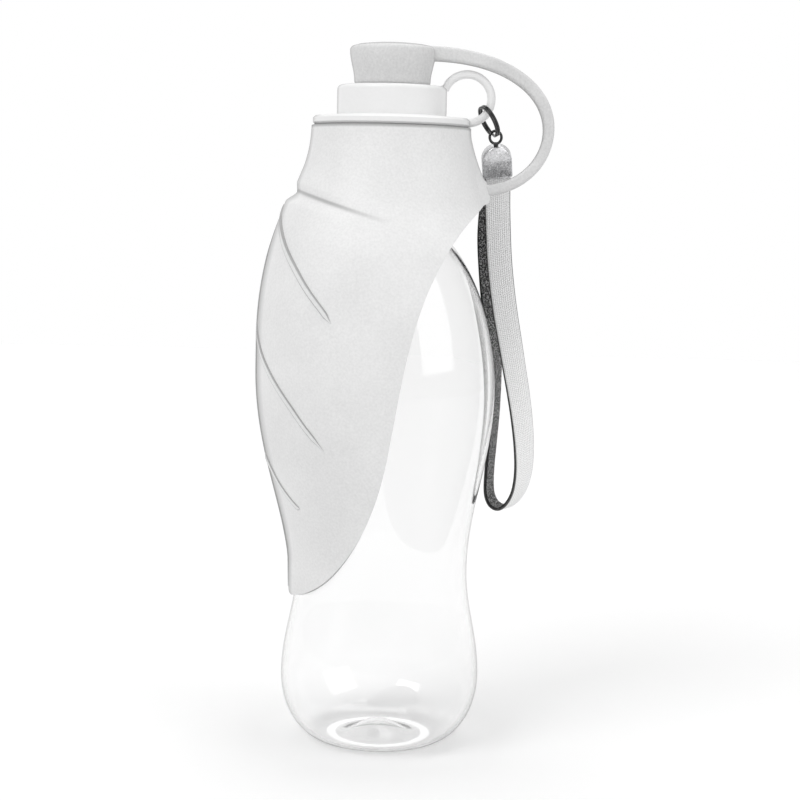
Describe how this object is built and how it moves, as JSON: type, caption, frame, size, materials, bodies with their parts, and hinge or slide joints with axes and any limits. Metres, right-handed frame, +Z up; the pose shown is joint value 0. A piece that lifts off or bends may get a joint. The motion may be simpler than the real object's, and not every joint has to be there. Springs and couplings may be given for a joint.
{
  "type": "dog travel water bottle",
  "caption": "Waisted clear squeeze bottle with a fold-down silicone leaf bowl, a screw cap with a tethered stopper and a webbing wrist loop.",
  "frame": {"origin": "on the bottle's axis, at the surface that the bottle stands on", "axes": "+Z up along the bottle's axis; +X towards the cap's lanyard loop and the tether strap; the leaf's midrib is at -X; the leaf is symmetric about the XZ plane"},
  "size_m": [0.0957, 0.085, 0.23],
  "materials": {
    "clear_bottle": "clear gloss plastic",
    "silicone": "soft matte",
    "cap_plastic": "satin moulded",
    "gasket_rubber": "matte",
    "ring_wire": "gloss black",
    "clamp_plastic": "gloss black",
    "webbing": "woven"
  },
  "bodies": {
    "bottle_and_sleeve": {"bottle": "clear_bottle", "sleeve": "silicone"},
    "gasket_and_strap_root": {"cap_gasket": "gasket_rubber", "strap_lower": "silicone"},
    "cap": {"cap": "cap_plastic"},
    "strap_and_stopper": {"strap_upper": "silicone", "stopper": "silicone"},
    "leaf": {"leaf_blade": "silicone"},
    "ring": {"split_ring": "ring_wire"},
    "eye": {"swivel_eye": "ring_wire"},
    "clamp": {"webbing_clamp": "clamp_plastic", "wrist_webbing": "webbing"}
  },
  "joints": [
    {"name": "cap_rise", "type": "slide", "parent": "bottle_and_sleeve", "child": "gasket_and_strap_root", "axis": [0, 0, 1], "range_m": [0, 0.00267]},
    {"name": "cap_turn", "type": "hinge", "parent": "gasket_and_strap_root", "child": "cap", "pos_m": [0, 0, 0.21], "axis": [0, 0, 1], "range_deg": [0, 320]},
    {"name": "stopper_open", "type": "hinge", "parent": "gasket_and_strap_root", "child": "strap_and_stopper", "pos_m": [0.0527, 0, 0.203], "axis": [0, 1, 0], "range_deg": [0, 100]},
    {"name": "leaf_lift", "type": "hinge", "parent": "bottle_and_sleeve", "child": "leaf", "pos_m": [-0.0431, 0, 0.128], "axis": [0, 1, 0], "range_deg": [0, 45], "stiffness_Nm_per_rad": 0.03, "springref_deg": -20.05},
    {"name": "ring_swing", "type": "hinge", "parent": "cap", "child": "ring", "pos_m": [0.03059, 0, 0.20777], "axis": [0.6157, 0, 0.788], "range_deg": [0, 45]},
    {"name": "eye_swing", "type": "hinge", "parent": "ring", "child": "eye", "pos_m": [0.03398, 0.0011, 0.20106], "axis": [0.309, -0.9511, 0], "range_deg": [0, 30]},
    {"name": "clamp_swivel", "type": "hinge", "parent": "eye", "child": "clamp", "pos_m": [0.03403, 0.00134, 0.20056], "axis": [-0.0947, -0.4226, 0.9013], "range_deg": [0, 40], "deforming": ["wrist_webbing"]}
  ],
  "couplings": [
    {"joint": "cap_turn", "follows": "cap_rise", "rad_per_m": 2094.4}
  ]
}
